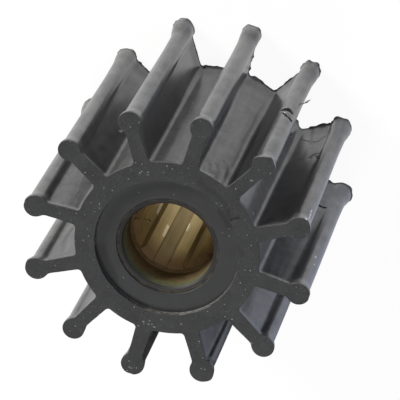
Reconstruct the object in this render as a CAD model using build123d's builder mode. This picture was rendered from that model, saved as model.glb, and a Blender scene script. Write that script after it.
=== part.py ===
"""Flexible pump impeller: a rubber vane wheel moulded on to a splined brass insert.

Millimetres. The shaft axis is +Z, the origin is the centre of the lower end, and the wheel stands
on that end. One vane lies along +X. The insert's counterbore opens upwards.
"""

from build123d import *
import os
from math import hypot

# Vane wheel, the rubber moulding. Its outline is given at the two ends, where it flares out in a
# thin rim, and is drawn in by the same amount all round between the rims.
tip_diameter = 65.0  # over the tips of the vanes
wheel_length = 52.0
vane_count = 12
vane_root_thickness = 3.5  # where the vane leaves the hub
vane_neck_thickness = 3.0  # where it runs into the bead
tip_bead_diameter = 5.0  # round bead along the outer edge of each vane
hub_diameter = 41.0  # over the floors of the pockets between the vanes
root_fillet = 0.9
neck_fillet = 1.3
waist_inset = 0.4  # how far the outline is drawn in
rim_height = 2.0

# Sunk ring round the bore, the same at both ends
ring_diameter = 32.0
ring_depth = 1.0
bare_brass = 1.0  # width of the insert's end face that the rubber leaves bare
lip_thickness = 0.4

# Splined insert, turned and broached brass
insert_wall = 4.0  # outside the counterbore
flute_count = 16  # lengthwise flutes that key the rubber to the brass
flute_diameter = 2.0
counterbore_step = 0.5  # from the floors of the grooves out to its wall
counterbore_shoulder = 8.5  # depth below the top of the wheel
counterbore_chamfer = 0.4
spline_count = 8
spline_minor_diameter = 16.0  # across the lands
spline_major_diameter = 19.0  # across the floors of the grooves
groove_width = 3.3
groove_angle = 36.8  # from the vane on +X to the first groove
lead_in_step = 0.4  # from the floors of the grooves out to the mouth of the cone at the foot
mouth_step = 0.3  # from the mouth of the cone at the shoulder out to the floors; both are 45 degree

# Worked out from the sizes above
counterbore_diameter = spline_major_diameter + 2 * counterbore_step
lead_in_diameter = spline_major_diameter + 2 * lead_in_step
insert_diameter = counterbore_diameter + 2 * insert_wall
lip_diameter = counterbore_diameter + 2 * (counterbore_chamfer + bare_brass)
insert_foot = ring_depth + lip_thickness
insert_length = wheel_length - 2 * insert_foot
counterbore_depth = counterbore_shoulder - insert_foot
lead_in_height = (lead_in_diameter - spline_minor_diameter) / 2
mouth_diameter = spline_major_diameter - 2 * mouth_step
mouth_height = (mouth_diameter - spline_minor_diameter) / 2
touching = 0.001  # two radii closer than this are the same


def radius_of(vertex):
    return hypot(vertex.X, vertex.Y)


def wheel_section(inset):
    """Section of the wheel, drawn in all round by the inset: hub, tapered vanes and round beads.
    The necks are filleted before the roots, because the ends of the root fillets would lie
    between the hub and the beads too."""
    hub_radius = hub_diameter / 2 - inset
    bead_centre = (tip_diameter - tip_bead_diameter) / 2
    root_half = vane_root_thickness / 2 - inset
    neck_half = vane_neck_thickness / 2 - inset
    with BuildSketch() as section:
        Circle(hub_radius)
        with PolarLocations(0, vane_count):
            Polygon(
                (hub_radius - root_fillet, root_half),
                (hub_radius - root_fillet, -root_half),
                (bead_centre, -neck_half),
                (bead_centre, neck_half),
            )
        with PolarLocations(bead_centre, vane_count):
            Circle(tip_bead_diameter / 2 - inset)
        necks = section.vertices().filter_by(lambda v: hub_radius + touching < radius_of(v) < bead_centre)
        fillet(necks, neck_fillet + inset)
        roots = section.vertices().filter_by(lambda v: abs(radius_of(v) - hub_radius) < touching)
        fillet(roots, root_fillet + inset)
    return section


end_section = wheel_section(0)
waist_section = wheel_section(waist_inset)

# End view of the insert: a round bar with flutes along its outside
with BuildSketch() as insert_outline:
    Circle(insert_diameter / 2)
    with PolarLocations(insert_diameter / 2, flute_count):
        Circle(flute_diameter / 2, mode=Mode.SUBTRACT)

# Rubber vane wheel. The sunk rings leave a thin lip of rubber over each end of the insert, and the
# insert's own outline is cut out between the lips, so rubber fills the flutes.
with BuildPart() as vane_wheel:
    with BuildSketch(Plane.XY.offset(rim_height)):
        add(waist_section.sketch)
    extrude(amount=wheel_length - 2 * rim_height)
    for end_height, waist_height in ((0, rim_height), (wheel_length, wheel_length - rim_height)):
        with BuildSketch(Plane.XY.offset(end_height)):
            add(end_section.sketch)
        with BuildSketch(Plane.XY.offset(waist_height)):
            add(waist_section.sketch)
        loft(ruled=True)
    with BuildSketch():
        Circle(lip_diameter / 2)
    extrude(amount=wheel_length, mode=Mode.SUBTRACT)
    for ring_bottom in (0, wheel_length - ring_depth):
        with BuildSketch(Plane.XY.offset(ring_bottom)):
            Circle(ring_diameter / 2)
        extrude(amount=ring_depth, mode=Mode.SUBTRACT)
    with BuildSketch(Plane.XY.offset(insert_foot)):
        add(insert_outline.sketch)
    extrude(amount=insert_length, mode=Mode.SUBTRACT)

# Brass insert: bored and broached from end to end, then counterbored from the top
with BuildPart() as splined_insert:
    with BuildSketch(Plane.XY.offset(insert_foot)):
        add(insert_outline.sketch)
        Circle(spline_minor_diameter / 2, mode=Mode.SUBTRACT)
    extrude(amount=insert_length)
    with BuildSketch(Plane.XY.offset(insert_foot)):
        with PolarLocations(spline_major_diameter / 4, spline_count, start_angle=groove_angle):
            Rectangle(spline_major_diameter / 2, groove_width)
        Circle(spline_major_diameter / 2, mode=Mode.INTERSECT)
    extrude(amount=insert_length, mode=Mode.SUBTRACT)
    with Locations((0, 0, insert_foot)):
        Cone(
            bottom_radius=lead_in_diameter / 2,
            top_radius=spline_minor_diameter / 2,
            height=lead_in_height,
            align=(Align.CENTER, Align.CENTER, Align.MIN),
            mode=Mode.SUBTRACT,
        )
    with BuildSketch(Plane.XY.offset(insert_foot + insert_length)):
        Circle(counterbore_diameter / 2)
    extrude(amount=-counterbore_depth, mode=Mode.SUBTRACT)
    with Locations((0, 0, wheel_length - counterbore_shoulder)):
        Cone(
            bottom_radius=spline_minor_diameter / 2,
            top_radius=mouth_diameter / 2,
            height=mouth_height,
            align=(Align.CENTER, Align.CENTER, Align.MAX),
            mode=Mode.SUBTRACT,
        )
    top_edges = splined_insert.edges().group_by(Axis.Z)[-1]
    chamfer(top_edges.filter_by(lambda e: e.is_closed), counterbore_chamfer)

vane_wheel.part.label = "vane_wheel"
splined_insert.part.label = "splined_insert"

os.makedirs("parts", exist_ok=True)
export_step(vane_wheel.part, "parts/vane_wheel.step")
export_step(splined_insert.part, "parts/splined_insert.step")
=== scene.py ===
import bmesh
import bpy
import numpy as np
from math import cos, pi, radians, sin
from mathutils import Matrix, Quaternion, Vector
from mathutils.geometry import delaunay_2d_cdt


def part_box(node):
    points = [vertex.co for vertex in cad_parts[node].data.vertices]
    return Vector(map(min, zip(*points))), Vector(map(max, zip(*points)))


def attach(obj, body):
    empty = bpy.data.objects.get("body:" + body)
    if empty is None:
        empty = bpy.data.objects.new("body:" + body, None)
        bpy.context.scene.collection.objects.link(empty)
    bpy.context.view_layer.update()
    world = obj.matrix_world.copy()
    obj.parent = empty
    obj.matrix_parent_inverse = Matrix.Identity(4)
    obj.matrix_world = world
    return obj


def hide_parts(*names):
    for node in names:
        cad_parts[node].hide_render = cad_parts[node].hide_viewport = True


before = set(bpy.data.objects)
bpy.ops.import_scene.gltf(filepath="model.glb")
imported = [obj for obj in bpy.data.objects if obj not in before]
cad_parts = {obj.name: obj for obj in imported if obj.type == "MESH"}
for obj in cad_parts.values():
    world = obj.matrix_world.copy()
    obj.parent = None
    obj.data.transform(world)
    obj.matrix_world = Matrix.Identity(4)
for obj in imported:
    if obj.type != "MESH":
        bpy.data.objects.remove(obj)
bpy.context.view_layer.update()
mm = 0.001  # sizes below are in millimetres, and the meshes are in metres
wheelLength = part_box("vane_wheel")[1][2] / mm


# 0 below low, 1 above high, and an easing cubic between them.
def smoothStep(low, high, value):
    part = np.clip((value - low) / (high - low), 0, 1)
    return part * part * (3 - 2 * part)


# Smooth noise from 0 to 1: random values on a unit lattice, eased between neighbours.
def latticeNoise(x, y, seed):
    lattice = np.random.default_rng(seed).random((97, 89))
    width, depth = lattice.shape
    column, row = np.floor(x).astype(int), np.floor(y).astype(int)
    easeX, easeY = smoothStep(0, 1, x - column), smoothStep(0, 1, y - row)
    left, right = column % width, (column + 1) % width
    low, high = row % depth, (row + 1) % depth
    near = lattice[left, low] * (1 - easeX) + lattice[right, low] * easeX
    far = lattice[left, high] * (1 - easeX) + lattice[right, high] * easeX
    return near * (1 - easeY) + far * easeY


# Gives a node's inputs their numbers or their links.
def feed(tree, node, inputs):
    for name, value in inputs.items():
        if isinstance(value, bpy.types.NodeSocket):
            tree.links.new(value, node.inputs[name])
        else:
            node.inputs[name].default_value = value


def addNode(tree, kind, inputs=None, **settings):
    node = tree.nodes.new(kind)
    for name, value in settings.items():
        setattr(node, name, value)
    feed(tree, node, inputs or {})
    return node


# An empty node material, and each point's place on the piece.
def emptyMaterial(name):
    material = bpy.data.materials.new(name)
    material.use_nodes = True
    tree = material.node_tree
    tree.nodes.clear()
    return material, tree, addNode(tree, "ShaderNodeTexCoord").outputs["Object"]


# A material named for its look, which is a function that gives the shader's inputs.
def makeMaterial(look, finish):
    material, tree, place = emptyMaterial(look.__name__)
    shader = addNode(tree, "ShaderNodeBsdfPrincipled", look(tree, place, finish))
    addNode(tree, "ShaderNodeOutputMaterial", {"Surface": shader.outputs["BSDF"]})
    return material


def maths(tree, operation, *values, clamp=False):
    inputs = dict(enumerate(values))
    return addNode(tree, "ShaderNodeMath", inputs, operation=operation, use_clamp=clamp).outputs[0]


# The answer is a number for a length, a distance or a dot product, and a vector otherwise.
def vectorMaths(tree, operation, *vectors):
    node = addNode(tree, "ShaderNodeVectorMath", dict(enumerate(vectors)), operation=operation)
    isNumber = operation in ("LENGTH", "DISTANCE", "DOT_PRODUCT")
    return node.outputs["Value" if isNumber else "Vector"]


def scaled(tree, vector, factor):
    node = addNode(tree, "ShaderNodeVectorMath", {0: vector, "Scale": factor}, operation="SCALE")
    return node.outputs["Vector"]


def axesOf(tree, place):
    return addNode(tree, "ShaderNodeSeparateXYZ", {"Vector": place}).outputs


# Distance from the wheel's axis.
def fromAxis(tree, place):
    return vectorMaths(tree, "LENGTH", vectorMaths(tree, "MULTIPLY", place, (1, 1, 0)))


# A noise on these is drawn out along an axis whose scale is small.
def stretched(tree, place, scale):
    return addNode(tree, "ShaderNodeMapping", {"Vector": place, "Scale": scale}).outputs["Vector"]


# Noise whose blobs are about size millimetres across.
def noise(tree, place, size, detail, roughness=0.5, output="Fac"):
    inputs = {"Vector": place, "Scale": 1 / (size * mm), "Detail": detail, "Roughness": roughness}
    return addNode(tree, "ShaderNodeTexNoise", inputs).outputs[output]


# Red, green, blue and alpha, from a grey or a colour.
def paint(colour):
    return (*((colour,) * 3 if isinstance(colour, (int, float)) else colour), 1)


def tinted(shade, tint):
    return tuple(shade * part for part in tint)


# A colour ramp from (position, grey or colour) stops.
def ramp(tree, value, *stops):
    node = addNode(tree, "ShaderNodeValToRGB", {"Fac": value})
    while len(node.color_ramp.elements) < len(stops):
        node.color_ramp.elements.new(0.5)
    for element, (position, colour) in zip(node.color_ramp.elements, stops):
        element.position = position
        element.color = paint(colour)
    return node.outputs["Color"]


# The first at an amount of 0, the second at 1. Numbers can be mixed as greys.
def mixColours(tree, amount, first, second, blend="MIX"):
    node = addNode(tree, "ShaderNodeMix", data_type="RGBA", blend_type=blend)
    first, second = (v if isinstance(v, bpy.types.NodeSocket) else paint(v) for v in (first, second))
    feed(tree, node, {0: amount, 6: first, 7: second})
    return node.outputs[2]


def multiplied(tree, first, second):
    return mixColours(tree, 1.0, first, second, "MULTIPLY")


# A value carried from one range over to another and held at both ends.
def mapped(tree, value, fromLow, fromHigh, toLow=0.0, toHigh=1.0):
    inputs = {"Value": value, "From Min": fromLow, "From Max": fromHigh, "To Min": toLow, "To Max": toHigh}
    return addNode(tree, "ShaderNodeMapRange", inputs).outputs["Result"]


# 0 at the first of two lengths in millimetres, 1 at the second, and straight between them.
def rising(tree, length, span):
    first, second = span
    return mapped(tree, length, first * mm, second * mm)


# One colour laid over another, as (low, high, amount) says: none where the value is low, and the
# amount where it is high.
def overlaid(tree, colour, over, value, fade):
    low, high, amount = fade
    return mixColours(tree, mapped(tree, value, low, high, 0.0, amount), colour, over)


# How near a point is to the closest of some marks: 1 on a mark's line, 0 at its half width and
# beyond. A mark is (half width, point, point, ...), in millimetres.
def nearMarks(tree, place, marks):
    nearest = None
    for halfWidth, *points in marks:
        for start, end in zip(points[:-1], points[1:]):
            along = Vector(end) - Vector(start)
            offset = vectorMaths(tree, "SUBTRACT", place, Vector(start) * mm)
            part = vectorMaths(tree, "DOT_PRODUCT", offset, along)
            part = maths(tree, "MULTIPLY", part, 1 / along.length_squared / mm, clamp=True)
            away = vectorMaths(tree, "DISTANCE", offset, scaled(tree, along * mm, part))
            away = maths(tree, "DIVIDE", away, halfWidth * mm)
            nearest = away if nearest is None else maths(tree, "MINIMUM", away, nearest)
    return maths(tree, "SUBTRACT", 1.0, nearest, clamp=True)


# Gives marks ragged edges: the place of each point is shaken by a noise of some size, as far as
# the reach, both in millimetres.
def shaken(tree, place, size, reach):
    shake = noise(tree, place, size, 3, output="Color")
    shake = vectorMaths(tree, "SUBTRACT", shake, (0.5, 0.5, 0.5))
    return vectorMaths(tree, "ADD", place, scaled(tree, shake, 2 * reach * mm))


# How near the ragged marks on a flat face are, whose points are given without its height.
def nearFlatMarks(tree, place, marks, height, shake):
    marks = [(halfWidth, *((*point, height) for point in points)) for halfWidth, *points in marks]
    return nearMarks(tree, shaken(tree, place, *shake), marks)


# Relief of some millimetres, over another relief where there is one.
def bump(tree, height, distance, below=None):
    inputs = {"Height": height, "Distance": distance * mm}
    if below is not None:
        inputs["Normal"] = below
    return addNode(tree, "ShaderNodeBump", inputs).outputs["Normal"]


# Lengths are in millimetres. A noise is (size, detail, roughness), a shake is (size, reach), and a
# fade is (low, high, amount), as overlaid has it.
rubberFinish = {
    # pale: dust, and the painted glints on one bead's top corner
    "dust": (0.42, 0.43, 0.43),
    # near black: torn rubber and smears, and painted shade in the side tears, the side creases and along
    # the ring's step
    "torn": (0.006, 0.006, 0.006),
    "dustShake": (0.4, 0.04),
    # The sides.
    "sideDark": 0.013,
    "sideLight": 0.029,
    "sideRoughness": (0.28, 0.32),  # of the darkest and the lightest streaks
    "sideShine": (0.58, 1.0),
    "sideRefraction": 1.58,
    "streaks": (1.1, 2, 0.45),
    "streakSquash": 0.1,  # along the axis, so the streaks are ten times as long
    "streakRelief": 0.045,
    "clouds": (3.0, 2),
    "cloudShare": 0.4,
    "peel": (0.6, 1),
    "peelShare": 0.14,
    "peelRelief": 0.004,
    "wornReach": (27.5, 29.5),  # from the axis: the beads, rubbed by the housing and painted paler as a highlight
    "wearAndHighlightShade": 1.45,
    "wornShine": 1.3,
    # dark: torn rubber, with painted shade on the flash lip at the foot
    "flash": (0.010, 0.0075, 0.005),
    "flashHeights": (0.3, 0.0),
    "flashEdge": (1.2, 4, 0.6),
    "flashJag": 0.9,
    "flashRoughness": 0.85,
    "rimDepths": (0.3, 0.1),  # below the top, over which the sides take the end faces' finish
    "markShake": (0.8, 0.35),
    "flashShadeFade": (0.0, 0.5),
    "tearFade": (0.1, 0.4, 1.0),
    "creaseFade": (0.1, 0.6, 0.6),
    "sideDustAndGlintFade": (0.2, 0.6, 0.8),
    "pressFade": (0.0, 0.6, 0.55),
    "pressedShine": 0.2,
    "tornShine": 0.05,
    "markRelief": 0.3,
    "creaseShare": 0.3,  # of that relief
    # The end faces.
    "endDark": 0.011,
    "endLight": 0.030,
    "endTint": (0.965, 1.0, 1.03),
    "endRoughness": 0.62,
    "endShine": 0.35,
    "endClouds": (5.0, 6, 0.65),
    "endCloudRelief": 0.12,
    "speckle": (0.45, 3, 0.6),
    "endGrain": (0.35, 4, 0.6),
    "endGrainRelief": 0.04,
    "specks": ((1.6, 0.09, 0.75), (0.75, 0.12, 0.28)),  # spacing, radius as a share of it, strength
    "speckPatches": (3.0, 3),
    "faceTearShake": (0.8, 0.3),
    "faceTearFade": (0.1, 0.6, 0.9),
    "faceTearRelief": 0.2,
    "faceSmearShake": (2.0, 0.5),
    "faceSmearFade": (0.0, 0.9, 0.45),
    "faceSmearRelief": 0.12,
    "faceDustFade": (0.0, 0.8, 0.36),
    # The floor of the sunk ring.
    "ringDark": 0.0155,
    "ringLight": 0.021,
    "ringTint": (0.96, 1.0, 1.05),
    "ringRoughness": 0.6,
    "ringClouds": (4.0, 5, 0.6),
    "ringCloudRelief": 0.06,
    "ringGrain": (0.4, 4, 0.6),
    "ringGrainRelief": 0.012,
    "dirt": (0.085, 0.075, 0.06),
    "dirtReach": (15.75, 15.95),
    "dirtPatches": (1.0, 4, 0.65),
    "ringShadowShake": (1.5, 0.4),
    "ringShadowFade": (0.0, 0.5, 0.85),
    "ringDustFade": (0.0, 0.8, 0.25),
}


# Marks on the sides, in millimetres. Tears go in and creases are faint, and both are painted near black as
# the shade inside them. Dust is pale, and the first two dust marks are painted glints on a bead's top
# corner.
sideTears = [
    (0.5, (14.08, 27.65, 27.16), (15.12, 27.77, 28.48), (16.13, 27.31, 28.87)),
    (1.0, (13.3, 27.14, 24.76), (13.99, 27.6, 25.0), (14.9, 27.76, 25.16)),
    (0.6, (14.9, 27.76, 25.16), (15.64, 27.57, 25.74)),
    (0.5, (26.5, 1.14, 12.0), (27.9, 1.16, 12.4)),
    (0.36, (15.5, 12.75, 6.4), (15.7, 12.9, 6.9)),
]
sideCreases = [
    (0.42, (19.4, 13.16, 1.1), (19.96, 13.17, 4.6), (20.6, 13.6, 9.3)),
    (0.36, (18.07, 12.06, 5.9), (20.23, 13.36, 7.8), (21.76, 14.28, 8.5), (22.75, 14.87, 6.0)),
    (0.6, (21.7, 14.15, 17.3), (22.4, 14.6, 15.5), (23.5, 15.6, 15.6)),
    (0.45, (22.4, 14.6, 15.5), (23.5, 15.5, 19.0), (23.54, 15.55, 20.9)),
]
# The first two of these pale marks are painted glints on a bead's top corner; the rest are dust.
sideDustAndGlints = [
    (0.24, (27.15, 16.65, 45.2), (27.35, 16.4, 49.0)),
    (0.5, (26.9, 17.6, 51.6), (27.0, 17.6, 51.9)),
    (0.20, (-6.6, 19.0, 19.1), (-6.5, 19.0, 19.3)),
    (0.34, (30.45, 1.87, 37.0), (30.5, 1.85, 37.3)),
    (0.28, (30.9, 1.67, 40.2), (30.9, 1.67, 40.4)),
    (0.20, (15.5, 12.8, 48.0), (15.6, 12.8, 48.1)),
    (0.45, (-19.1, 12.53, 31.0), (-18.8, 12.36, 30.2)),
]
# Dark torn rubber that runs round the foot of one bead, darkened further as painted shade on the flash.
footFlashShade = [
    (0.8, (30.3, 2.6, 0.4), (31.4, 2.2, 0.5), (32.1, 1.3, 0.6), (32.49, 0.2, 0.7), (32.4, -0.9, 0.6)),
]
# Shallow arcs pressed into the floor between two vanes, and last a soft fold down a vane's side.
sidePresses = [
    (0.65, (5.6, 19.4, 41.6), (7.06, 18.85, 43.1), (7.62, 18.65, 44.9), (7.9, 18.54, 47.8)),
    (0.75, (4.7, 19.59, 44.6), (5.7, 19.3, 46.9), (6.2, 19.2, 50.7)),
    (0.55, (3.98, 19.76, 49.7), (5.5, 19.35, 49.0)),
    (0.55, (3.35, 19.9, 46.1), (3.94, 19.78, 49.0)),
    (0.8, (-22.72, -11.64, 35.8), (-22.93, -11.83, 41.5), (-22.09, -11.32, 47.7)),
]
# The lip of a tear, which stands out.
sideFlaps = [
    (0.9, (14.0, 27.6, 26.2), (15.2, 27.7, 26.9)),
]
# Marks on the upper end face and on the floor of its ring, whose points need no height.
faceTears = [
    (0.5, (11.9, 11.8), (13.1, 12.6)),
]
faceSmears = [
    (1.1, (3.2, 17.9), (6.35, 16.9), (8.3, 15.9), (10.3, 14.2), (11.5, 12.3)),
]
# Dark bands along the ring's outer step: painted shadow.
ringStepShadows = [
    (2.0, (-13.9, -6.2), (-12.9, -8.2), (-11.4, -10.0), (-9.9, -11.6)),
    (1.3, (9.2, 12.4), (10.6, 11.0), (11.5, 9.9)),
    (0.9, (-10.9, -11.6), (-6.5, -14.6), (-1.0, -15.9)),
]
faceDust = [
    (0.24, (-0.5, -19.0), (-0.3, -19.0)), (0.24, (0.8, -19.2), (0.9, -19.2)),
    (0.24, (2.1, -19.4), (2.3, -19.4)),
    (0.18, (-1.3, -20.4), (-1.1, -20.4)), (0.20, (1.5, -18.9), (1.6, -18.9)),
    (0.20, (0.8, -18.3), (0.9, -18.3)), (0.16, (3.2, -17.1), (3.3, -17.1)),
    (0.20, (7.6, -16.5), (7.8, -16.5)), (0.18, (-0.7, -31.0), (-0.5, -31.0)),
    (0.17, (-0.2, -31.1), (-0.0, -31.1)), (0.16, (-1.1, -29.6), (-0.9, -29.6)),
    (0.18, (14.6, -25.5), (14.7, -25.5)), (0.17, (15.4, -25.4), (15.5, -25.4)),
    (0.20, (12.4, -19.2), (12.6, -19.2)),
    (0.18, (17.9, -11.3), (18.1, -11.3)), (0.16, (15.4, -8.4), (15.5, -8.4)),
    (0.18, (26.9, -11.6), (27.0, -11.6)), (0.18, (23.4, -15.4), (23.6, -15.4)),
    (0.19, (-10.1, 15.4), (-9.9, 15.4)), (0.17, (-8.5, 16.2), (-8.3, 16.2)),
    (0.14, (-8.4, 15.6), (-8.1, 15.6)), (0.16, (-12.1, 13.2), (-12.0, 13.1)),
    (0.19, (-16.6, 5.2), (-16.6, 5.0)), (0.14, (-16.4, 4.2), (-16.3, 4.1)),
    (0.17, (-17.9, -4.6), (-17.8, -4.7)), (0.22, (13.2, 22.2), (13.6, 22.3)),
]
ringDust = [
    (0.19, (12.1, 7.4), (12.2, 7.3)), (0.14, (11.6, 9.0), (11.7, 8.9)),
    (0.14, (10.5, 7.6), (10.6, 7.5)), (0.14, (-9.2, 10.3), (-9.1, 10.3)),
    (0.14, (-1.9, 12.5), (-1.8, 12.5)), (0.17, (-7.4, -10.7), (-7.3, -10.8)),
]


# Moulded skin: satin grey with streaks along the vanes, a fine orange-peel and wear marks. The beads are
# paler, partly as a painted highlight; tears and creases are painted dark as their shade; and the foot is
# dark torn rubber with painted shade on the flash.
def mouldedRubber(tree, place, finish):
    along = stretched(tree, place, (1, 1, finish["streakSquash"]))
    streaks = noise(tree, along, *finish["streaks"])
    cloud = noise(tree, place, *finish["clouds"])
    peel = noise(tree, place, *finish["peel"])
    blend = mixColours(tree, 1 - finish["cloudShare"], streaks, cloud)
    blend = mixColours(tree, finish["peelShare"], blend, peel)
    colour = ramp(tree, blend, (0.34, finish["sideDark"]), (0.66, finish["sideLight"]))
    # The beads are paler: wear from the housing, and a painted highlight.
    worn = rising(tree, fromAxis(tree, place), finish["wornReach"])
    colour = mixColours(tree, worn, colour, multiplied(tree, colour, finish["wearAndHighlightShade"]))

    # Painted shade: the flash along the foot and round one bead's foot is painted dark, over torn, rougher
    # rubber.
    height = axesOf(tree, place)["Z"]
    jagged = maths(tree, "MULTIPLY", noise(tree, place, *finish["flashEdge"]), finish["flashJag"] * mm)
    torn = rising(tree, maths(tree, "SUBTRACT", height, jagged), finish["flashHeights"])
    ragged = shaken(tree, place, *finish["markShake"])
    shadedFlash = mapped(tree, nearMarks(tree, ragged, footFlashShade), *finish["flashShadeFade"])
    torn = maths(tree, "MAXIMUM", torn, shadedFlash)
    colour = mixColours(tree, torn, colour, finish["flash"])
    tears = nearMarks(tree, ragged, sideTears)
    creases = nearMarks(tree, ragged, sideCreases)
    dust = nearMarks(tree, ragged, sideDustAndGlints)
    # Painted shade: the tears and creases are painted near black, as the shade inside them.
    colour = overlaid(tree, colour, finish["torn"], tears, finish["tearFade"])
    colour = overlaid(tree, colour, finish["torn"], creases, finish["creaseFade"])
    # Pale dust, and painted highlights where the glints are.
    colour = overlaid(tree, colour, finish["dust"], dust, finish["sideDustAndGlintFade"])

    rim = rising(tree, height, [wheelLength - depth for depth in finish["rimDepths"]])
    smooth, scuffed = finish["sideRoughness"]
    rough = ramp(tree, blend, (0.36, smooth), (0.64, scuffed))
    rough = mixColours(tree, torn, rough, finish["flashRoughness"])
    rough = mixColours(tree, rim, rough, finish["endRoughness"])
    shine = mapped(tree, blend, 0.36, 0.64, *finish["sideShine"])
    shine = maths(tree, "MULTIPLY", shine, mapped(tree, worn, 0.0, 1.0, 1.0, finish["wornShine"]))
    shine = mixColours(tree, rim, shine, finish["endShine"])
    pressed = nearMarks(tree, ragged, sidePresses)
    shine = overlaid(tree, shine, finish["pressedShine"], pressed, finish["pressFade"])
    dull = maths(tree, "MAXIMUM", mapped(tree, tears, 0.0, 0.4), mapped(tree, creases, 0.0, 0.6, 0.0, 0.5))
    shine = mixColours(tree, dull, shine, finish["tornShine"])
    relief = maths(tree, "MULTIPLY", tears, -1.0)
    relief = maths(tree, "MULTIPLY_ADD", creases, -finish["creaseShare"], relief)
    normal = bump(tree, streaks, finish["streakRelief"], bump(tree, peel, finish["peelRelief"]))
    return {
        "Base Color": colour,
        "Roughness": rough,
        "Specular IOR Level": shine,
        "IOR": finish["sideRefraction"],
        "Normal": bump(tree, relief, finish["markRelief"], normal),
    }


# Matt end faces with a fine grain and scattered dust, fine and coarse.
def endRubber(tree, place, finish):
    cloud = noise(tree, place, *finish["endClouds"])
    speckle = noise(tree, place, *finish["speckle"])
    dark, light = (tinted(finish[shade], finish["endTint"]) for shade in ("endDark", "endLight"))
    colour = ramp(tree, mixColours(tree, 0.5, cloud, speckle), (0.34, dark), (0.66, light))
    patchy = ramp(tree, noise(tree, place, *finish["speckPatches"]), (0.44, 0.0), (0.58, 1.0))
    for size, radius, strength in finish["specks"]:
        inputs = {"Vector": place, "Scale": 1 / (size * mm)}
        specks = addNode(tree, "ShaderNodeTexVoronoi", inputs, voronoi_dimensions="2D")
        dusty = ramp(tree, specks.outputs["Distance"], (radius * 0.5, strength), (radius, 0.0))
        rare = ramp(tree, specks.outputs["Color"], (0.55, 0.0), (0.8, 1.0))
        dusty = multiplied(tree, multiplied(tree, dusty, patchy), rare)
        colour = mixColours(tree, dusty, colour, finish["dust"])
    tears = nearFlatMarks(tree, place, faceTears, wheelLength, finish["faceTearShake"])
    smears = nearFlatMarks(tree, place, faceSmears, wheelLength, finish["faceSmearShake"])
    dust = nearFlatMarks(tree, place, faceDust, wheelLength, finish["dustShake"])
    colour = overlaid(tree, colour, finish["torn"], tears, finish["faceTearFade"])
    colour = overlaid(tree, colour, finish["torn"], smears, finish["faceSmearFade"])
    colour = overlaid(tree, colour, finish["dust"], dust, finish["faceDustFade"])
    normal = bump(tree, noise(tree, place, *finish["endGrain"]), finish["endGrainRelief"])
    normal = bump(tree, cloud, finish["endCloudRelief"], normal)
    normal = bump(tree, smears, -finish["faceSmearRelief"], normal)
    return {
        "Base Color": colour,
        "Roughness": finish["endRoughness"],
        "Specular IOR Level": finish["endShine"],
        "Normal": bump(tree, tears, -finish["faceTearRelief"], normal),
    }


# The smoother, faintly blue floor of the sunk ring, with brown dirt in its outer corner and a painted
# shadow along its outer step.
def ringRubber(tree, place, finish):
    cloud = noise(tree, place, *finish["ringClouds"])
    dark, light = (tinted(finish[shade], finish["ringTint"]) for shade in ("ringDark", "ringLight"))
    colour = ramp(tree, cloud, (0.3, dark), (0.7, light))
    corner = rising(tree, fromAxis(tree, place), finish["dirtReach"])
    patchy = ramp(tree, noise(tree, place, *finish["dirtPatches"]), (0.48, 0.0), (0.6, 0.7))
    colour = mixColours(tree, multiplied(tree, corner, patchy), colour, finish["dirt"])
    floor = wheelLength - vaneWheel["ringDepth"]
    # Painted shadow along the ring's outer step.
    smears = nearFlatMarks(tree, place, ringStepShadows, floor, finish["ringShadowShake"])
    dust = nearFlatMarks(tree, place, ringDust, floor, finish["dustShake"])
    colour = overlaid(tree, colour, finish["torn"], smears, finish["ringShadowFade"])
    colour = overlaid(tree, colour, finish["dust"], dust, finish["ringDustFade"])
    normal = bump(tree, noise(tree, place, *finish["ringGrain"]), finish["ringGrainRelief"])
    return {
        "Base Color": colour,
        "Roughness": finish["ringRoughness"],
        "Specular IOR Level": finish["endShine"],
        "Normal": bump(tree, cloud, finish["ringCloudRelief"], normal),
    }


brassFinish = {
    # The splined bore.
    "land": (0.635, 0.51, 0.245),
    # darker than the lands, as painted shade in the grooves
    "groove": (0.38, 0.292, 0.13),
    "grooveEdge": (-0.05, 0.25),  # where the colour changes, as the cosine of a spline's turn
    "boreMetal": 0.94,
    "boreRoughness": (0.58, 0.47),
    "lines": (0.35, 4, 0.6),
    "lineSquash": 0.015,
    "lineRelief": 0.012,
    "boreClouds": (2.5, 4),
    "boreCloudSquash": 0.2,
    "boreShades": (0.82, 1.12),
    "boreShake": (1.0, 0.15),
    # painted highlight: the colour of the bright streaks along some lands' edges
    "paintedGlint": (0.95, 0.88, 0.66),
    "glintFade": 0.8,
    "polishedRoughness": 0.3,
    "pit": (0.02, 0.015, 0.01),
    "pitFade": (0.1, 0.6, 0.9),
    "pitRelief": 0.2,
    "mouth": (0.34, 0.215, 0.096),  # tarnish of the first few millimetres below the shoulder
    "mouthHeights": (36.5, 43.2),
    "mouthEdge": (2.0, 3),
    "mouthJag": 1.6,
    "mouthMetal": 0.25,
    "mouthRoughness": 0.6,
    "cone": (0.19, 0.116, 0.05),
    "coneHeights": (42.1, 42.6),
    "coneMetal": 0.15,
    # The counterbore.
    "wallHeights": (44.0, 50.4),
    "wallTop": (0.047, 0.050, 0.033),
    "olive": (0.088, 0.090, 0.035),
    "brown": (0.115, 0.074, 0.03),  # at its bottom
    "wallMottle": (1.0, 5, 0.65),
    "wallMetal": 0.35,
    "wallRoughness": 0.7,
    "wallLines": (0.25, 3),
    "wallSquash": (0.05, 0.05, 1.5),
    "wallRelief": 0.02,
    # The ends and the outside.
    "face": (0.020, 0.0187, 0.0168),
    "chamfer": (0.016, 0.0155, 0.014),
    "chamferReach": (10.42, 10.3),
    "rust": (0.06, 0.048, 0.034),
    "rustReach": (10.75, 10.95),
    "rustPatches": (1.5, 4, 0.6),
    "faceMetal": 0.4,
    "faceRoughness": 0.6,
    "turnedPitch": 0.42,
    "turnedRelief": 0.03,
}


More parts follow.
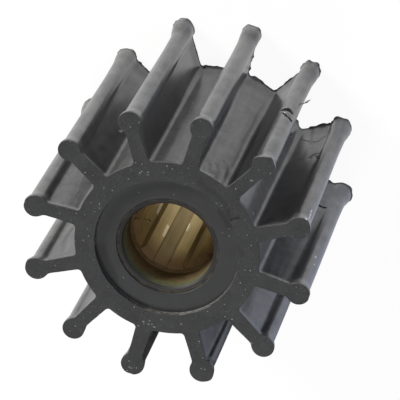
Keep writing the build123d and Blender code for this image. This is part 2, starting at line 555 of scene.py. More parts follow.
# Pits in the bore, and bright streaks along some lands' edges that are painted highlights, in millimetres.
borePits = [
    (0.45, (-7.64, -2.35, 38.0), (-7.64, -2.3, 38.3)), (0.4, (-8.9, -3.2, 34.9), (-8.8, -3.4, 35.0)),
    (0.4, (-7.64, -5.65, 31.8), (-7.6, -5.6, 32.1)), (0.45, (-7.21, -6.18, 31.0), (-7.2, -6.2, 31.3)),
]
boreGlints = [
    (0.5, (-6.85, -6.58, 18.5), (-6.71, -6.72, 25.5)),
    (0.55, (-3.3, -7.28, 28.5), (-3.2, -7.35, 33.5)),
    (0.4, (0.63, -7.98, 23.0), (0.8, -7.95, 26.5)),
]


# The bore: lands polished by the shaft, grooves painted darker as the shade in them, fine broaching lines
# along the axis, bright streaks along some lands' edges painted as highlights, and a copper tarnish at the
# mouth.
def splineBrass(tree, place, finish):
    axes = axesOf(tree, place)
    angle = maths(tree, "ARCTAN2", axes["Y"], axes["X"])
    turns = maths(tree, "ADD", angle, radians(-brassInsert["grooveAngle"]))
    nearGroove = maths(tree, "COSINE", maths(tree, "MULTIPLY", turns, brassInsert["splines"]))
    groove = mapped(tree, nearGroove, *finish["grooveEdge"])
    lines = noise(tree, stretched(tree, place, (1, 1, finish["lineSquash"])), *finish["lines"])
    cloud = noise(tree, stretched(tree, place, (1, 1, finish["boreCloudSquash"])), *finish["boreClouds"])
    worn = mixColours(tree, 0.5, lines, cloud)
    dark, light = finish["boreShades"]
    # Painted shade: the grooves are coloured darker than the lands.
    colour = mixColours(tree, groove, finish["land"], finish["groove"])
    colour = multiplied(tree, colour, ramp(tree, worn, (0.3, dark), (0.7, light)))
    uneven = maths(tree, "MULTIPLY", noise(tree, place, *finish["mouthEdge"]), finish["mouthJag"] * mm)
    mouth = rising(tree, maths(tree, "ADD", axes["Z"], uneven), finish["mouthHeights"])
    cone = rising(tree, axes["Z"], finish["coneHeights"])
    colour = mixColours(tree, cone, mixColours(tree, mouth, colour, finish["mouth"]), finish["cone"])
    ragged = shaken(tree, place, *finish["boreShake"])
    # Painted highlights: bright streaks along some lands' edges, with a smoother finish.
    paintedGlint = mapped(tree, nearMarks(tree, ragged, boreGlints), 0.0, 1.0, 0.0, finish["glintFade"])
    colour = mixColours(tree, paintedGlint, colour, finish["paintedGlint"])
    pits = nearMarks(tree, ragged, borePits)
    metal = mapped(tree, mouth, 0.0, 1.0, finish["boreMetal"], finish["mouthMetal"])
    dull, bright = finish["boreRoughness"]
    rough = ramp(tree, worn, (0.3, dull), (0.7, bright))
    rough = mixColours(tree, mouth, rough, finish["mouthRoughness"])
    return {
        "Base Color": overlaid(tree, colour, finish["pit"], pits, finish["pitFade"]),
        "Metallic": mixColours(tree, cone, metal, finish["coneMetal"]),
        "Roughness": mixColours(tree, paintedGlint, rough, finish["polishedRoughness"]),
        "Normal": bump(tree, pits, -finish["pitRelief"], bump(tree, lines, finish["lineRelief"])),
    }


# The counterbore's wall and shoulder: turned, brown at the bottom and olive towards the top.
def counterboreBrass(tree, place, finish):
    height = axesOf(tree, place)["Z"]
    brown, olive, wallTop = (finish[shade] for shade in ("brown", "olive", "wallTop"))
    rise = rising(tree, height, finish["wallHeights"])
    colour = ramp(tree, rise, (0.0, brown), (0.45, brown), (0.72, olive), (1.0, wallTop))
    mottle = ramp(tree, noise(tree, place, *finish["wallMottle"]), (0.3, 0.7), (0.7, 1.3))
    lines = noise(tree, stretched(tree, place, finish["wallSquash"]), *finish["wallLines"])
    return {
        "Base Color": multiplied(tree, colour, mottle),
        "Metallic": finish["wallMetal"],
        "Roughness": finish["wallRoughness"],
        "Normal": bump(tree, lines, finish["wallRelief"]),
    }


# The ends, the chamfer and the outside: dull dark grey with fine turned rings.
def dulledBrass(tree, place, finish):
    radius = fromAxis(tree, place)
    inner = rising(tree, radius, finish["chamferReach"])
    colour = mixColours(tree, inner, finish["face"], finish["chamfer"])
    patchy = ramp(tree, noise(tree, place, *finish["rustPatches"]), (0.42, 0.0), (0.6, 0.8))
    rust = multiplied(tree, rising(tree, radius, finish["rustReach"]), patchy)
    rings = maths(tree, "SINE", maths(tree, "MULTIPLY", radius, 2 * pi / (finish["turnedPitch"] * mm)))
    return {
        "Base Color": mixColours(tree, rust, colour, finish["rust"]),
        "Metallic": finish["faceMetal"],
        "Roughness": finish["faceRoughness"],
        "Normal": bump(tree, rings, finish["turnedRelief"]),
    }


vaneWheel = {
    "vaneCount": 12,
    "beadAt": 29.75,  # how far out the beads' centres lie
    "beadRadius": 2.2,
    "hubRadius": 20.15,
    "rootHalf": 1.4,  # half the vane's thickness at the hub
    "neckHalf": 1.15,  # and at the bead
    "rootFillet": 1.25,
    "neckFillet": 1.7,
    "rim": 0.36,  # how far the hub and the sides of the vanes flare out at both ends
    "rimHeight": 1.9,
    "footRimHeight": 4.5,
    "shank": ((6, -0.2, 2.05), (13, -0.2, 2.0), (46, 0.05, 2.2)),  # height, outward shift, radius of a bead
    "topBlend": (48.4, 51.7),  # heights over which the beads take the shape of their upper ends
    "footBlend": (1.2, 6.0),  # and of their feet
    "reachLimit": 32.49,
    "ringRadius": 16.0,
    "ringDepth": 1.0,
    "lipRadius": 11.4,
    "lipThickness": 0.4,
    "seatRadius": 14.0,  # outside of the brass
    "edge": 0.12,  # rounding of the sharp edges
    "cornerFillet": 0.3,  # round the outer corner of the ring's floor
    "lipEdge": 0.1,
    "floorRings": (14.6, 13.4, 12.4),  # radii of the rings that divide the ring's floor
    "segments": 288,  # round the bore
    "endSpacing": 0.9,  # between the points inside the end faces
    "rowSquash": 0.97,  # of that spacing, from row to row
    "vanesFrom": 18,  # radius where the vanes' points begin
    "endMargins": (0.7, 0.1, 0.6, 0.8),  # of those points from the ring, the hub, a vane's side and a bead
    "points": {"floor": 8, "root": 6, "side": 12, "neck": 6, "bead": 20},
    # Heights of the rows. Between footRows and topRows they are closest about the torn bead, and
    # next about the pressed arcs.
    "footRows": (0.0, 0.1, 0.2, 0.3, 0.4, 0.5, 0.62, 0.78, 1.0, 1.3, 1.8, 2.4, 3.0, 3.7, 4.5, 5.4, 6.6),
    "rowStops": (23.0, 30.5, 41.0),
    "rowSteps": (9, 14, 6, 5),
    "topRows": (5.2, 4.2, 3.4, 2.7, 2.1, 1.6, 1.2, 0.85, 0.55, 0.3),  # below the top
    # Depths of marks, each as a share of the mark's half width.
    "tearDepth": 0.4,
    "creaseDepth": 0.15,
    "pressDepth": 0.2,
    "flapRise": 0.1,
    "flashWidth": 0.38,
    "flashThickness": 0.5,
    # Layers of noise round the foot: share, spacing, row and seed.
    "flashEdge": ((0.55, 2.3, 0, 3), (0.45, 0.5, 0, 4)),
    "flashPatches": ((1.0, 3.1, 7, 5),),
    "flashUnevenness": ((0.6, 1.3, 3, 9),),
    "cornerHeights": (0.4, 1.3),  # over which a bead's corner fades
    "shiftFrom": 0.55,  # how far out along a vane its bead's outward shift begins
    "swayPower": 1.5,  # of the way out, for the sideways shift
    "waves": ((0.08, 4.0, 9.0, 6), (0.04, 1.2, 5.0, 8)),  # depth, spacing round, spacing up, seed
}
# A thread of rubber torn loose from a bead. A station is how far along it is and its half width.
looseThread = {
    "start": (16.75, 26.1, 16.8),
    "end": (18.1, 27.65, 16.6),
    "side": (-0.71, 0.58, -0.25),
    "stations": ((0.0, 0.07), (0.25, 0.1), (0.42, 0.24), (0.58, 0.23), (0.78, 0.12), (1.0, 0.03)),
}
# For each vane, at the top and then at the foot: how far the bead's centre is out of place,
# outwards and sideways, and its radius.
beadEnds = (
    ((0.24, -0.19, 2.60), (0.02, -0.14, 2.44)),
    ((0.30, 0.00, 2.52), (-0.11, 0.58, 2.38)),
    ((0.38, 0.00, 2.55), (0.57, 0.09, 2.18)),
    ((0.33, -0.05, 2.50), (0.60, -0.04, 2.22)),
    ((0.35, 0.00, 2.55), (0.41, -0.18, 2.38)),
    ((0.30, 0.00, 2.50), (-0.14, -0.05, 2.32)),
    ((0.27, 0.51, 2.58), (0.20, 0.20, 2.36)),
    ((0.46, 0.02, 2.57), (0.30, 0.00, 2.36)),
    ((0.54, 0.42, 2.49), (0.35, 0.20, 2.32)),
    ((0.30, -0.13, 2.62), (0.20, -0.10, 2.42)),
    ((0.20, -0.15, 2.74), (0.20, -0.10, 2.48)),
    ((0.50, -0.23, 2.53), (0.35, 0.10, 2.36)),
)
# Corners that the trimming left on the beads at the foot: vane, direction round the bead in
# degrees from straight out, half its spread and how far it stands out.
footCorners = (
    (0, -35, 35, 0.22), (1, 38, 24, 0.28), (1, 92, 30, 0.42), (2, 8, 26, 0.32), (2, 57, 22, 0.42),
    (3, -8, 42, 0.36), (4, -30, 38, 0.42), (4, -115, 20, 0.15), (5, -82, 26, 0.32), (5, 52, 20, 0.2),
    (6, 20, 40, 0.25), (7, -40, 30, 0.3), (8, 5, 30, 0.3), (9, 60, 25, 0.25), (10, -10, 30, 0.3),
    (11, 30, 30, 0.3),
)
# The same at the top.
topCorners = ((2, 88, 28, 0.40), (2, 11, 26, 0.42), (1, 38, 24, 0.32), (10, 30, 30, 0.2), (7, -60, 30, 0.2))
# Torn lumps of flash along the foot: distance from the axis, direction in degrees, spread, how
# far it stands out and its height.
footLumps = (
    (25.2, 87.1, 0.8, 0.35, 0.9), (24.2, 87.4, 0.5, 0.2, 0.6), (22.2, 87.4, 0.9, 0.45, 0.8),
    (20.7, 85.0, 0.8, 0.2, 0.7), (28.5, 145.6, 0.5, 0.6, 0.4), (26.9, 146.1, 0.9, 0.35, 0.7),
    (20.3, 113.0, 1.7, 0.4, 1.1), (20.3, 105.0, 2.4, 0.3, 1.0), (20.4, 80.0, 1.6, 0.4, 0.8),
    (20.9, 67.5, 1.0, 0.35, 0.6), (20.5, 40.5, 0.8, 0.5, 0.9), (21.5, 36.0, 0.7, 0.6, 0.8),
    (22.9, 34.0, 0.6, 0.45, 0.7), (25.5, 33.6, 1.5, 0.3, 0.8), (28.6, 35.3, 1.0, 0.35, 0.9),
    (26.0, 3.0, 1.5, 0.3, 0.6), (30.7, 5.6, 1.2, 0.35, 0.9), (31.7, 3.4, 1.4, 0.4, 1.1),
    (32.3, -0.6, 1.4, 0.4, 1.2), (21.0, 212.0, 1.2, 0.5, 0.8), (24.0, 237.5, 0.9, 0.7, 0.7),
    (20.5, 285.0, 1.8, 0.4, 0.8), (26.5, 297.0, 0.8, 0.6, 0.6),
)


# Points of an arc, centre plus radius times direction, at even steps of the angle, and the directions.
def arc(centre, radius, start, end, count):
    turn = np.linspace(start, end, count + 1)
    direction = np.stack([np.cos(turn), np.sin(turn)], axis=1)
    return centre + radius * direction, direction


# Half the outline of one vane that points along u, from the pocket's middle to the tip: hub arc,
# root fillet, straight side, neck fillet, bead. Gives points, outward normals and how far each
# belongs to the bead, from 0 to 1.
def halfVane(w):
    beadCentre = np.array([w["beadAt"], 0.0])
    rise = (w["neckHalf"] - w["rootHalf"]) / (beadCentre[0] - w["hubRadius"])
    run = np.array([1.0, rise]) / np.hypot(1.0, rise)  # along the side
    out = np.array([-run[1], run[0]])  # square to it, out of the rubber
    offset = out @ np.array([w["hubRadius"], w["rootHalf"]])

    rootOffset = offset + w["rootFillet"]
    rootCentre = out * rootOffset + run * np.sqrt((w["hubRadius"] + w["rootFillet"]) ** 2 - rootOffset**2)
    neckOffset = offset + w["neckFillet"] - out @ beadCentre
    neckReach = np.sqrt((w["beadRadius"] + w["neckFillet"]) ** 2 - neckOffset**2)
    neckCentre = beadCentre + out * neckOffset - run * neckReach

    rootAngle = np.arctan2(rootCentre[1], rootCentre[0])
    sideAngle = np.arctan2(-out[1], -out[0])  # from a fillet's centre towards the side
    beadAngle = np.arctan2(*(neckCentre - beadCentre)[::-1])
    pocket = pi / w["vaneCount"]
    count = w["points"]
    floor, floorOut = arc(0.0, w["hubRadius"], pocket, rootAngle, count["floor"])
    root, rootOut = arc(rootCentre, w["rootFillet"], rootAngle - pi, sideAngle, count["root"])
    start, end = rootCentre - out * w["rootFillet"], neckCentre - out * w["neckFillet"]
    part = np.linspace(0, 1, count["side"] + 1)[:, None]
    side = start + (end - start) * part
    neck, neckOut = arc(neckCentre, w["neckFillet"], sideAngle, beadAngle - pi, count["neck"])
    bead, beadOut = arc(beadCentre, w["beadRadius"], beadAngle, 0.0, count["bead"])
    points = np.concatenate([floor[:-1], root[:-1], side[:-1], neck[:-1], bead])
    sideOut = np.tile(out, (count["side"], 1))
    normals = np.concatenate([floorOut[:-1], -rootOut[:-1], sideOut, -neckOut[:-1], beadOut])
    plain = np.zeros(len(points) - len(bead) - count["neck"])
    joining = np.linspace(0, 1, count["neck"], endpoint=False)
    return points, normals, np.concatenate([plain, joining, np.ones(len(bead))])


# One vane from pocket middle to pocket middle, anticlockwise: the lower half out to the tip, and
# the upper half back.
def wholeVane(w):
    points, normals, onBead = halfVane(w)
    flip = np.array([1.0, -1.0])
    back = slice(-2, 0, -1)
    points, normals = (np.concatenate([half * flip, half[back]]) for half in (points, normals))
    return points, normals, np.concatenate([onBead, onBead[back]])


# Heights of the rows, close together over the flash and the rims and wide between, and how far
# each lies inside the outline where the upper edge is rounded.
def rowHeights(w):
    edge, bend = w["edge"], np.linspace(0, pi / 2, 4)
    low, high = np.array(w["footRows"]), wheelLength - np.array(w["topRows"])
    top = wheelLength - edge * (1 - np.sin(bend))
    stops = (low[-1], *w["rowStops"], high[0])
    spans = zip(stops[:-1], stops[1:], w["rowSteps"])
    middle = np.concatenate([np.linspace(start, end, steps + 1)[:-1] for start, end, steps in spans])
    heights = np.concatenate([low, middle[1:], high, top])
    inset = np.concatenate([np.zeros(len(heights) - len(top)), edge * (1 - np.cos(bend))])
    return heights, inset


# For every row and vane: how far the bead's centre is shifted outwards and sideways, and its
# radius. The shank tapers from the top down, and each end eases over to its own shape.
def beadShapes(w, heights):
    top, foot = (np.array(ends) for ends in zip(*beadEnds))
    level, out, radius = np.array(w["shank"]).T
    z = heights[:, None]
    nearTop, nearFoot = smoothStep(*w["topBlend"], z), 1 - smoothStep(*w["footBlend"], z)
    between = 1 - nearTop - nearFoot
    part = z / wheelLength
    outward = np.interp(z, level, out) * between + top[:, 0] * nearTop + foot[:, 0] * nearFoot
    sideways = top[:, 1] * part + foot[:, 1] * (1 - part)
    radius = np.interp(z, level, radius) * between + top[:, 2] * nearTop + foot[:, 2] * nearFoot
    return outward, sideways, radius


# How deep some marks cut into a surface, as nearMarks has them: at a mark's line it is the half
# width, and it eases to nothing at the edge.
def markDepth(surface, marks):
    depth = np.zeros(surface.shape[:-1])
    for halfWidth, *line in marks:
        for start, end in zip(line[:-1], line[1:]):
            start, along = np.array(start), np.subtract(end, start)
            part = np.clip((surface - start) @ along / (along @ along), 0, 1)
            away = np.linalg.norm(surface - start - part[..., None] * along, axis=-1)
            depth = np.maximum(depth, halfWidth * (1 - smoothStep(0, 1, away / halfWidth)))
    return depth


# Noise round the foot, as the sum of its layers.
def footNoise(along, layers):
    total = along * 0
    for share, spacing, row, seed in layers:
        total = total + share * latticeNoise(along / spacing, along * 0 + row, seed)
    return total


# Points or directions in the plane of a vane that points along x, turned about the axis.
def turned(u, v, turn):
    return u * np.cos(turn) - v * np.sin(turn), u * np.sin(turn) + v * np.cos(turn)


# The moulded sides as a grid of rows up the wheel and points round it. Each point is the
# outline's, moved along its normal by the flare of the ends, the size of its bead, the flash and
# corners of the foot and a slow waviness, then by the shift of its bead, and inwards by the marks.
def sideSurface(w):
    points, normals, onBead = wholeVane(w)
    heights, inset = rowHeights(w)
    count = w["vaneCount"]
    step = np.hypot(*np.diff(points, axis=0, append=points[:1] * [1, -1]).T)
    along = (np.cumsum(step) - step)[None, :] + np.arange(count)[:, None] * step.sum()  # distance round
    z = heights[:, None, None]
    turn = (2 * pi / count * np.arange(count))[:, None]
    x, y = turned(*points.T, turn)

    outward, sideways, radius = (shape[:, :, None] for shape in beadShapes(w, heights))
    rim = 1 - smoothStep(0, 1, (wheelLength - z) / w["rimHeight"])
    rim = rim + (1 - smoothStep(0, 1, z / w["footRimHeight"]))
    shift = w["rim"] * rim * (1 - onBead) + (radius - w["beadRadius"]) * onBead
    ragged = np.clip(0.12 + 1.5 * (footNoise(along, w["flashEdge"]) - 0.3), 0.03, 1.0)
    torn = smoothStep(0.30, 0.42, footNoise(along, w["flashPatches"]))
    flash = w["flashWidth"] * ragged * (0.3 + 0.7 * torn)
    depth = w["flashThickness"] * (0.7 + footNoise(along, w["flashUnevenness"]))
    shift = shift + flash * (1 - smoothStep(0.5 * depth, 1.1 * depth, z))
    direction = np.degrees(np.arctan2(points[:, 1], points[:, 0] - w["beadAt"]))
    for corners, depth in ((footCorners, z), (topCorners, wheelLength - z)):
        for vane, middle, spread, reach in corners:
            corner = np.clip(1 - np.abs(direction - middle) / spread, 0, 1) * onBead * reach
            shift[:, vane] += corner * (1 - smoothStep(*w["cornerHeights"], depth[:, 0]))
    for distance, azimuth, spread, reach, height in footLumps:
        away = np.hypot(x - distance * cos(radians(azimuth)), y - distance * sin(radians(azimuth)))
        lump = (1 - smoothStep(0, spread, away)) * (1 - smoothStep(0.45 * height, height, z))
        shift = shift + reach * lump
    for depth, spacing, rise, seed in w["waves"]:
        wave = depth * (latticeNoise(along[None] / spacing, z / rise, seed) - 0.5)
        shift = shift + wave * (1 - onBead * 0.5)
    shift = shift - inset[:, None, None]

    reach = np.clip((points[:, 0] - w["hubRadius"]) / (w["beadAt"] - w["hubRadius"]), 0, 1)
    u = points[:, 0] + shift * normals[:, 0] + outward * smoothStep(w["shiftFrom"], 1.0, reach)
    v = points[:, 1] + shift * normals[:, 1] + sideways * reach ** w["swayPower"]
    surface = np.stack([*turned(u, v, turn), z + 0 * u], axis=-1)
    cut = w["tearDepth"] * markDepth(surface, sideTears)
    cut = cut + w["creaseDepth"] * markDepth(surface, sideCreases)
    cut = cut + w["pressDepth"] * markDepth(surface, sidePresses)
    cut = cut - w["flapRise"] * markDepth(surface, sideFlaps)
    surface[..., :2] -= cut[..., None] * np.stack(turned(*normals.T, turn), axis=-1)
    surface[..., :2] = np.clip(surface[..., :2], -w["reachLimit"], w["reachLimit"])
    return surface.reshape(len(heights), -1, 3)


# Quads over a grid that closes on itself round its columns.
def gridFaces(rows, columns, start):
    low = np.arange(rows - 1)[:, None] * columns
    here, after = np.arange(columns)[None, :], (np.arange(columns)[None, :] + 1) % columns
    quads = np.stack([low + here, low + after, low + columns + after, low + columns + here], axis=-1)
    return quads.reshape(-1, 4) + start


# Everything that is round: the upper sunk ring, its lip, the seat of the brass, the lower lip and
# the lower ring, as one profile of radius and height swept about the axis.
def boreSurface(w):
    top, edge, fillet, lipEdge = wheelLength, w["edge"], w["cornerFillet"], w["lipEdge"]
    bend = np.linspace(0, pi / 2, 5)
    falling, across = 1 - np.cos(bend), 1 - np.sin(bend)  # a quarter turn of a rounded edge
    ring, lip, floor = w["ringRadius"], w["lipRadius"], top - w["ringDepth"]
    seat = floor - w["lipThickness"]
    upper = np.concatenate([
        np.stack([ring + edge * across, top - edge * falling], axis=1),
        np.stack([ring - fillet * falling, floor + fillet * across], axis=1),
        [[radius, floor] for radius in w["floorRings"]],
        np.stack([lip + lipEdge * across, floor - lipEdge * falling], axis=1),
        [[lip, seat], [w["seatRadius"], seat]],
    ])
    profile = np.concatenate([upper, (upper * [1, -1] + [0, top])[::-1]])
    turn = 2 * pi * np.arange(w["segments"]) / w["segments"]
    radius, height = profile[:, 0, None], profile[:, 1, None]
    surface = np.stack([radius * np.cos(turn), radius * np.sin(turn), height + 0 * turn], axis=-1)
    return surface[::-1]


# A flat end between the wheel's outline and the ring's circle, filled with triangles over the two
# loops and an even scatter of points inside.
def endFaces(w, outline, circle, height, start, facesUp):
    reach = w["beadAt"] + w["beadRadius"]
    lines = np.arange(-reach, reach, w["endSpacing"])
    x, y = (grid.ravel() for grid in np.meshgrid(lines, lines * w["rowSquash"]))
    radius = np.hypot(x, y)
    sector = 2 * pi / w["vaneCount"]
    angle = (np.arctan2(y, x) + sector / 2) % sector - sector / 2
    u, v = radius * np.cos(angle), np.abs(radius * np.sin(angle))
    atRing, atHub, atSide, atBead = w["endMargins"]
    hub = (radius > w["ringRadius"] + atRing) & (radius < w["hubRadius"] - atHub)
    vane = (u > w["vanesFrom"]) & (u < w["beadAt"]) & (v < w["neckHalf"] - atSide)
    bead = np.hypot(u - w["beadAt"], v) < w["beadRadius"] - atBead
    inside = np.stack([x, y], axis=1)[hub | vane | bead]
    loops = np.concatenate([outline[:, :2], circle[:, :2]])
    count, ring = len(outline), len(circle)
    edges = [(i, (i + 1) % count) for i in range(count)]
    edges += [(count + i, count + (i + 1) % ring) for i in range(ring)]
    flat = np.concatenate([loops, inside])
    points, _, triangles, _, _, _ = delaunay_2d_cdt([Vector(p) for p in flat], edges, [], 1, 1e-6)
    points, triangles = np.array([tuple(p) for p in points]), np.array(triangles)
    centres = points[triangles].mean(axis=1)
    triangles = triangles[np.hypot(*centres.T) > w["ringRadius"]]
    if not facesUp:
        triangles = triangles[:, ::-1]
    return np.column_stack([points, np.full(len(points), height)]), triangles + start


# The loose thread: a flat strip with four corners at each of its stations, and a cap at each end.
def tornThread(t):
    start, end, side = (np.array(t[name]) for name in ("start", "end", "side"))
    across = np.cross(end - start, side)
    across = across / np.linalg.norm(across) * 0.5  # half as thick as it is wide
    part, width = np.array(t["stations"]).T[:, :, None, None]
    corners = np.stack([side, across, -side, -across])
    points = start + (end - start) * part + corners * width
    caps = [[3, 2, 1, 0], np.arange(4) + 4 * len(points) - 4]
    return points.reshape(-1, 3), np.concatenate([gridFaces(len(points), 4, 0), caps])


mergeDistance = 0.002  # points closer than this are one


def addObject(name, data):
    thing = bpy.data.objects.new(name, data)
    bpy.context.scene.collection.objects.link(thing)
    return thing


# A finished piece from points in millimetres, with each face's material slot and whether it is
# smooth. Points that two of its surfaces share are merged. Where a sharp angle is given, in
# degrees, edges bent by more than that stay sharp.
def makePiece(name, points, faces, slots, smooth, materials, sharpAngle=None):
    mesh = bpy.data.meshes.new(name)
    mesh.from_pydata((points * mm).tolist(), [], faces)
    mesh.polygons.foreach_set("material_index", slots.astype(np.int32))
    mesh.polygons.foreach_set("use_smooth", smooth.astype(bool))
    work = bmesh.new()
    work.from_mesh(mesh)
    bmesh.ops.remove_doubles(work, verts=work.verts, dist=mergeDistance * mm)
    if sharpAngle is not None:
        bmesh.ops.recalc_face_normals(work, faces=work.faces)
        for line in work.edges:
            line.smooth = len(line.link_faces) == 2 and line.calc_face_angle() < radians(sharpAngle)
    work.to_mesh(mesh)
    work.free()
    for material in materials:
        mesh.materials.append(material)
    print("  triangles", sum(len(face.vertices) - 2 for face in mesh.polygons))
    return addObject(name, mesh)


def makeVaneWheel(w):
    print("vane wheel")
    sides, bore = sideSurface(w), boreSurface(w)
    start = sides[..., 0].size
    sideFaces = gridFaces(*sides.shape[:2], 0)
    boreFaces = gridFaces(*bore.shape[:2], start)[:, ::-1]
    start += bore[..., 0].size
    topPoints, topFaces = endFaces(w, sides[-1], bore[-1], wheelLength, start, True)
    start += len(topPoints)
    footPoints, footFaces = endFaces(w, sides[0], bore[0], 0.0, start, False)
    start += len(footPoints)
    threadPoints, threadFaces = tornThread(looseThread)
    surfaces = (sides.reshape(-1, 3), bore.reshape(-1, 3), topPoints, footPoints, threadPoints)
    groups = (sideFaces, boreFaces, topFaces, footFaces, threadFaces + start)
    counts = [len(group) for group in groups]
    faces = [face for group in groups for face in group.tolist()]
    slots, smooth = np.repeat([0, 2, 1, 1, 0], counts), np.repeat([1, 1, 0, 0, 1], counts)
    materials = [makeMaterial(look, rubberFinish) for look in (mouldedRubber, endRubber, ringRubber)]
    wheel = makePiece("rubberVaneWheel", np.concatenate(surfaces), faces, slots, smooth, materials)
    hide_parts("vane_wheel")
    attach(wheel, "root")


brassInsert = {
    "outerRadius": 14.0,
    "flutes": 16,
    "fluteRadius": 1.0,
    "minorRadius": 8.0,  # to the lands
    "majorRadius": 9.5,  # to the floors of the grooves
    "splines": 8,
    "grooveWidth": 3.3,
    "grooveAngle": 36.8,
    "foot": 1.4,
    "shoulder": 8.5,  # below the top of the wheel
    "counterboreRadius": 10.0,
    "chamfer": 0.4,
    "leadInRadius": 9.9,  # cone at the foot
    "mouthRadius": 9.2,  # cone at the shoulder
    "edge": 0.12,
    "cornerEase": 0.14,  # softening of the spline corners
    "cornerRadius": 0.25,  # between the shoulder and the counterbore's wall
    # Where the surface is divided.
    "columns": (5, 14, 7),  # over half a groove's floor, its side and half a land
    "columnGaps": (0.025, 0.012, 0.014, 0.028),  # radians, before and after each corner of a groove's side
    "faceRings": (12.0, 12.5),  # radii on the lower and the upper end face
    "coneRows": 12,
    "boreRows": 12,
    "mouthRows": 8,
    "wallRows": 6,
    "rowGap": 1.0,  # from the lead-in cone and the shoulder to the next row
    "mouthGaps": (0.3, 0.1),  # from the mouth's cone to the last row of the bore and the cone's own first
    "shoulderGap": 0.06,
    "faceGap": 0.1,
    "sharpAngle": 38,
}


# Radius of the bore: across a groove's straight side it is half the groove's width divided by the
# sine of the angle from the groove's middle, eased into the land and the floor.
def splineRadius(b, angle):
    pitch = 2 * pi / b["splines"]
    fromGroove = np.abs((angle - radians(b["grooveAngle"]) + pitch / 2) % pitch - pitch / 2)
    side = b["grooveWidth"] / 2 / np.sin(np.maximum(fromGroove, 0.01))
    ease = b["cornerEase"]
    above = (side + b["minorRadius"] + np.hypot(side - b["minorRadius"], ease)) / 2
    return (above + b["majorRadius"] - np.hypot(above - b["majorRadius"], ease)) / 2


# Radius of the outside: a circle, cut by the round flutes that are centred on it.
def fluteRadius(b, angle):
    pitch = 2 * pi / b["flutes"]
    fromFlute = (angle + pitch / 2) % pitch - pitch / 2
    reach = b["fluteRadius"] ** 2 - (b["outerRadius"] * np.sin(fromFlute)) ** 2
    cut = b["outerRadius"] * np.cos(fromFlute) - np.sqrt(np.maximum(reach, 0))
    return np.where(reach > 0, cut, b["outerRadius"])


# Angles of the columns: an even spread, with more of them down the sides of the grooves.
def insertAngles(b):
    half = b["grooveWidth"] / 2
    atFloor, atLand = np.arcsin(half / b["majorRadius"]), np.arcsin(half / b["minorRadius"])
    pitch = 2 * pi / b["splines"]
    onFloor, onSide, onLand = b["columns"]
    endFloor, startSide, endSide, startLand = b["columnGaps"]
    floor = np.linspace(0, atFloor - endFloor, onFloor)
    side = np.linspace(atFloor - startSide, atLand + endSide, onSide)
    land = np.linspace(atLand + startLand, pitch / 2, onLand)[:-1]
    halfTurn = np.concatenate([floor, side, land])
    one = np.concatenate([-halfTurn[:0:-1], halfTurn, [pitch / 2]])
    every = one[None, :] + radians(b["grooveAngle"]) + pitch * np.arange(b["splines"])[:, None]
    return every.ravel()


# One profile swept round: foot, lead-in cone, splined bore, shoulder, counterbore, chamfer, end
# face and fluted outside, and back to the foot. Each row has one height, and its radii may follow
# the splines or the flutes.
def makeBrassInsert(b):
    print("brass insert")
    angle = insertAngles(b)
    bore, outside = splineRadius(b, angle), fluteRadius(b, angle)
    foot, top, shoulder = b["foot"], wheelLength - b["foot"], wheelLength - b["shoulder"]
    edge, wall, corner = b["edge"], b["counterboreRadius"], b["cornerRadius"]
    leadIn, mouth = b["leadInRadius"] - b["minorRadius"], b["mouthRadius"] - b["minorRadius"]
    chamfered = wall + b["chamfer"]
    lowerRing, upperRing = b["faceRings"]
    # A row is its radii, its height and the material slot of the faces below it.
    rows = [(outside - edge, foot, 2), (lowerRing, foot, 2)]
    for depth in np.linspace(0, leadIn, b["coneRows"]):
        rows.append((np.maximum(bore, b["leadInRadius"] - depth), foot + depth, 0))
    endBore, startMouth = (shoulder - mouth - gap for gap in b["mouthGaps"])
    for height in np.linspace(foot + leadIn + b["rowGap"], endBore, b["boreRows"]):
        rows.append((bore, height, 0))
    for height in np.linspace(startMouth, shoulder, b["mouthRows"]):
        rows.append((np.maximum(bore, b["mouthRadius"] - shoulder + height), height, 0))
    rows.append((np.maximum(bore, b["mouthRadius"]) + b["shoulderGap"], shoulder, 1))
    rows.append((wall - corner, shoulder, 1))
    for turn in np.linspace(0, pi / 2, 4)[1:]:
        rows.append((wall - corner * (1 - sin(turn)), shoulder + corner * (1 - cos(turn)), 1))
    for height in np.linspace(shoulder + b["rowGap"], top - b["chamfer"], b["wallRows"]):
        rows.append((wall, height, 1))
    rows += [(chamfered, top, 2), (chamfered + b["faceGap"], top, 2)]
    rows += [(upperRing, top, 2), (outside - edge, top, 2)]
    rows += [(outside, top - edge, 2), (outside, foot + edge, 2)]
    radius = np.stack([row[0] + 0 * angle for row in rows])
    height = np.array([row[1] for row in rows])[:, None] + 0 * angle
    points = np.stack([radius * np.cos(angle), radius * np.sin(angle), height], axis=-1).reshape(-1, 3)
    # The last row of faces closes the profile, from the last row of points to the first.
    faces = gridFaces(len(rows) + 1, len(angle), 0) % len(points)
    slots = np.repeat([row[2] for row in rows[1:]] + [2], len(angle))
    materials = [makeMaterial(look, brassFinish) for look in (splineBrass, counterboreBrass, dulledBrass)]
    smooth = np.ones(len(slots))
    insert = makePiece("brassInsert", points, faces.tolist(), slots, smooth, materials, b["sharpAngle"])
    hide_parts("splined_insert")
    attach(insert, "root")


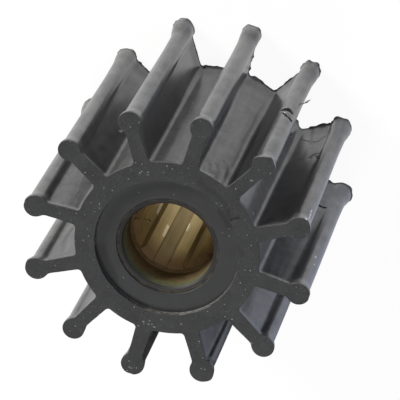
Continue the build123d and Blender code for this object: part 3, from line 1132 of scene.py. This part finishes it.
studio = {
    "floorColour": 0.92,
    "floorReach": 4.0,  # metres
    "ownLight": 0.93,  # the share of the floor that is its own white, where it is looked at
    "reflectedShadowPlace": (0.014, -0.05, 0),  # painted shadow: a dark patch of the floor, seen only in reflections
    "reflectedShadowReach": (0.02, 0.05),
    "tint": (0.78, 0.82, 1.0),  # painted bluish shade: bluer on the side away from the key, in reflections
    "tintDirection": (0.8, -0.6, 0),
    "tintReach": (0.005, 0.045),
    "worldStrength": 0.012,
    "lampAim": (0, 0, 0.02),
    "lampDistance": 0.9,
    # name, azimuth, elevation, size, power and colour
    "lamps": [
        ("key", 153, 12, 0.32, 22.0, (1.0, 0.985, 0.96)),
        ("fill", 42, 8, 0.35, 5.0, (0.70, 0.77, 1.0)),
        ("endLight", 275, 48, 0.5, 5.0, (1.0, 1.0, 1.0)),
        ("front", 66, 62, 0.3, 2.2, (1.0, 0.98, 0.94)),
    ],
}
cameraView = {
    "aim": (4.02, 13.86, 52.0),  # point on the optical axis
    "azimuth": 80.38, "elevation": 61.82, "roll": -152.81,
    "distance": 824.4,
    "lens": 347.0,
    "sensorWidth": 36,
    "clipEnd": 20,  # metres
}


def directionOf(azimuth, elevation):
    a, e = radians(azimuth), radians(elevation)
    return Vector((cos(a) * cos(e), sin(a) * cos(e), sin(e)))


# A pale floor. To the camera and in reflections most of its light is its own white, so the object's shadow
# stays on it but faint. Reflections alone also see a painted shadow, a dark patch beside the object, and a
# painted bluish shade on the side away from the key.
def makeFloor(s):
    print("floor")
    reach = s["floorReach"]
    corners = [(-reach, -reach, 0), (reach, -reach, 0), (reach, reach, 0), (-reach, reach, 0)]
    mesh = bpy.data.meshes.new("floor")
    mesh.from_pydata(corners, [], [(0, 1, 2, 3)])
    material, tree, place = emptyMaterial("paleFloor")
    matt = addNode(tree, "ShaderNodeBsdfDiffuse", {"Color": paint(s["floorColour"])})
    rays = addNode(tree, "ShaderNodeLightPath").outputs
    camera, glossy, through = rays["Is Camera Ray"], rays["Is Glossy Ray"], rays["Is Transmission Ray"]
    # Painted shadow: reflections see the floor dark near the object.
    low, high = s["reflectedShadowReach"]
    reflectedShadow = mapped(tree, vectorMaths(tree, "DISTANCE", place, s["reflectedShadowPlace"]), low, high, 1.0, 0.0)
    left = maths(tree, "SUBTRACT", 1.0, maths(tree, "MULTIPLY", reflectedShadow, glossy))
    # Painted shade: reflections see the floor bluer on the side away from the key.
    low, high = s["tintReach"]
    bluish = mapped(tree, vectorMaths(tree, "DOT_PRODUCT", place, s["tintDirection"]), low, high)
    tint = mixColours(tree, maths(tree, "MULTIPLY", bluish, glossy), 1.0, s["tint"])
    glow = addNode(tree, "ShaderNodeEmission", {"Color": tint, "Strength": left})
    seen = maths(tree, "MAXIMUM", maths(tree, "MAXIMUM", camera, glossy), through)
    share = maths(tree, "MULTIPLY", seen, s["ownLight"])
    mixed = addNode(tree, "ShaderNodeMixShader", {0: share, 1: matt.outputs[0], 2: glow.outputs[0]})
    addNode(tree, "ShaderNodeOutputMaterial", {"Surface": mixed.outputs[0]})
    mesh.materials.append(material)
    addObject("floor", mesh)


def makeLights(s):
    print("lights")
    world = bpy.data.worlds.new("studio")
    bpy.context.scene.world = world
    world.use_nodes = True
    light = {"Color": paint(1.0), "Strength": s["worldStrength"]}
    feed(world.node_tree, world.node_tree.nodes["Background"], light)
    for name, azimuth, elevation, size, power, colour in s["lamps"]:
        light = bpy.data.lights.new(name, "AREA")
        light.size = size
        light.energy = power
        light.color = colour
        lamp = addObject(name, light)
        towards = directionOf(azimuth, elevation)
        lamp.location = Vector(s["lampAim"]) + towards * s["lampDistance"]
        lamp.rotation_euler = towards.to_track_quat("Z", "Y").to_euler()


def makeCamera(c):
    print("camera")
    lens = bpy.data.cameras.new("camera")
    lens.lens = c["lens"]
    lens.sensor_width = c["sensorWidth"]
    lens.clip_end = c["clipEnd"]
    camera = addObject("camera", lens)
    back = directionOf(c["azimuth"], c["elevation"])
    camera.location = (Vector(c["aim"]) + back * c["distance"]) * mm
    turn = back.to_track_quat("Z", "Y") @ Quaternion((0, 0, 1), radians(c["roll"]))
    camera.rotation_euler = turn.to_euler()
    bpy.context.scene.camera = camera


makeVaneWheel(vaneWheel)
makeBrassInsert(brassInsert)
makeFloor(studio)
makeLights(studio)
makeCamera(cameraView)
bpy.context.scene.view_settings.view_transform = "Standard"
print("done")
